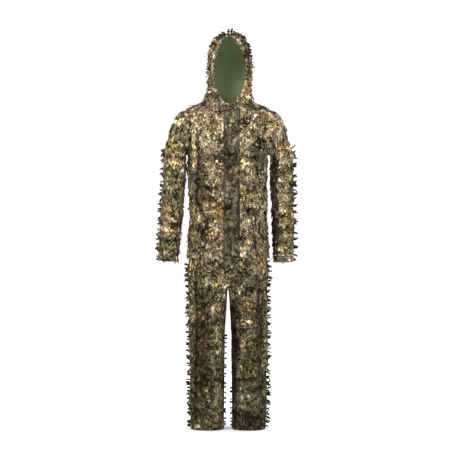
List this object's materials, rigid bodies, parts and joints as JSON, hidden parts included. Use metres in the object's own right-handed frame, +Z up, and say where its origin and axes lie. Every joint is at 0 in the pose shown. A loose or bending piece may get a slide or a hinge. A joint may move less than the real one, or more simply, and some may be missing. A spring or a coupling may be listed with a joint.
{
  "type": "ghillie suit",
  "caption": "Leafy woodland camouflage suit as worn: hooded zip jacket with storm flap over elasticated trousers, with bending sleeves and legs.",
  "frame": {"origin": "the middle of the trousers' waist, level with the waistband's top edge, where the wearer carries the suit", "axes": "+Z up along the body, front towards -Y, +X to the wearer's left"},
  "size_m": [0.6242, 0.2836, 1.7439],
  "materials": {
    "printed_cloth": "matt printed polyester with a woodland foliage pattern and sewn leaves",
    "leaf_cloth": "matt laser-cut leaf cloth, printed as the suit is",
    "lining": "matt plain green mesh",
    "elastic": "matt ribbed webbing",
    "zip_plastic": "matt moulded coil and woven tape",
    "zip_metal": "dull bronze lacquer, worn at its edges"
  },
  "bodies": {
    "trousers": {"trousers_front_left": "printed_cloth", "trousers_front_right": "printed_cloth", "trousers_back_left": "printed_cloth", "trousers_back_right": "printed_cloth", "waistband": "printed_cloth", "waist_elastic": "elastic", "leg_top_left": "printed_cloth", "leg_top_right": "printed_cloth"},
    "jacket": {"jacket_back": "printed_cloth", "jacket_front_left": "printed_cloth", "jacket_front_right": "printed_cloth", "jacket_hem": "printed_cloth", "jacket_hem_elastic": "elastic", "hood_collar": "printed_cloth", "chin_rim": "printed_cloth", "hang_loop": "elastic", "zip_teeth_left": "zip_plastic", "zip_teeth_right": "zip_plastic", "zip_tape_left": "zip_plastic", "zip_tape_right": "zip_plastic", "zip_retainer_box": "zip_plastic", "sleeve_head_left": "printed_cloth", "sleeve_head_right": "printed_cloth"},
    "storm_flap": {"storm_flap": "printed_cloth"},
    "zip_slider": {"zip_slider": "zip_metal"},
    "zip_pull": {"zip_pull": "zip_metal"},
    "hood": {"hood_shell": "printed_cloth", "hood_lining": "lining", "hood_rim": "printed_cloth", "hood_leaves": "leaf_cloth"},
    "upper_sleeve_left": {"sleeve_upper_left": "printed_cloth", "sleeve_elbow_left": "printed_cloth", "sleeve_upper_leaves_left": "leaf_cloth"},
    "lower_sleeve_left": {"sleeve_lower_left": "printed_cloth", "cuff_left": "printed_cloth", "cuff_elastic_left": "elastic", "sleeve_lower_leaves_left": "leaf_cloth"},
    "upper_leg_left": {"leg_upper_left": "printed_cloth", "leg_knee_left": "printed_cloth", "leg_upper_leaves_left": "leaf_cloth"},
    "lower_leg_left": {"leg_lower_left": "printed_cloth", "leg_hem_left": "printed_cloth", "leg_hem_elastic_left": "elastic", "leg_lower_leaves_left": "leaf_cloth"},
    "upper_sleeve_right": {"sleeve_upper_right": "printed_cloth", "sleeve_elbow_right": "printed_cloth", "sleeve_upper_leaves_right": "leaf_cloth"},
    "lower_sleeve_right": {"sleeve_lower_right": "printed_cloth", "cuff_right": "printed_cloth", "cuff_elastic_right": "elastic", "sleeve_lower_leaves_right": "leaf_cloth"},
    "upper_leg_right": {"leg_upper_right": "printed_cloth", "leg_knee_right": "printed_cloth", "leg_upper_leaves_right": "leaf_cloth"},
    "lower_leg_right": {"leg_lower_right": "printed_cloth", "leg_hem_right": "printed_cloth", "leg_hem_elastic_right": "elastic", "leg_lower_leaves_right": "leaf_cloth"}
  },
  "joints": [
    {"name": "jacket_lift", "type": "slide", "parent": "trousers", "child": "jacket", "axis": [0, 0, 1], "range_m": [0, 0.3]},
    {"name": "storm_flap_open", "type": "hinge", "parent": "jacket", "child": "storm_flap", "pos_m": [0.0521, -0.13199, -0.14], "axis": [0, 0.035, 0.9994], "range_deg": [0, 100]},
    {"name": "zip_slide", "type": "slide", "parent": "jacket", "child": "zip_slider", "axis": [0, 0.035, 0.9994], "range_m": [-0.626, 0]},
    {"name": "zip_pull_swing", "type": "hinge", "parent": "zip_slider", "child": "zip_pull", "pos_m": [0, -0.10702, 0.50231], "axis": [-1, 0, 0], "range_deg": [0, 8]},
    {"name": "hood_fold", "type": "hinge", "parent": "jacket", "child": "hood", "pos_m": [0, 0.1157, 0.6448], "axis": [-1, 0, 0], "range_deg": [0, 75]},
    {"name": "shoulder_left", "type": "hinge", "parent": "jacket", "child": "upper_sleeve_left", "pos_m": [0.213, 0, 0.365], "axis": [0, -1, 0], "range_deg": [0, 65], "deforming": ["sleeve_head_left"]},
    {"name": "elbow_left", "type": "hinge", "parent": "upper_sleeve_left", "child": "lower_sleeve_left", "pos_m": [0.23862, 0, 0.10096], "axis": [-0.9998, 0, -0.0175], "range_deg": [0, 90], "deforming": ["sleeve_elbow_left"]},
    {"name": "hip_left", "type": "hinge", "parent": "trousers", "child": "upper_leg_left", "pos_m": [0.091, 0, -0.345], "axis": [-1, 0, 0], "range_deg": [-25, 40], "deforming": ["leg_top_left"]},
    {"name": "knee_left", "type": "hinge", "parent": "upper_leg_left", "child": "lower_leg_left", "pos_m": [0.091, 0, -0.56], "axis": [1, 0, 0], "range_deg": [0, 90], "deforming": ["leg_knee_left"]},
    {"name": "shoulder_right", "type": "hinge", "parent": "jacket", "child": "upper_sleeve_right", "pos_m": [-0.213, 0, 0.365], "axis": [0, 1, 0], "range_deg": [0, 65], "deforming": ["sleeve_head_right"]},
    {"name": "elbow_right", "type": "hinge", "parent": "upper_sleeve_right", "child": "lower_sleeve_right", "pos_m": [-0.2511, 0, 0.1048], "axis": [-0.9969, 0, 0.0785], "range_deg": [0, 90], "deforming": ["sleeve_elbow_right"]},
    {"name": "hip_right", "type": "hinge", "parent": "trousers", "child": "upper_leg_right", "pos_m": [-0.091, 0, -0.345], "axis": [-1, 0, 0], "range_deg": [-25, 40], "deforming": ["leg_top_right"]},
    {"name": "knee_right", "type": "hinge", "parent": "upper_leg_right", "child": "lower_leg_right", "pos_m": [-0.091, 0, -0.56], "axis": [1, 0, 0], "range_deg": [0, 90], "deforming": ["leg_knee_right"]}
  ]
}
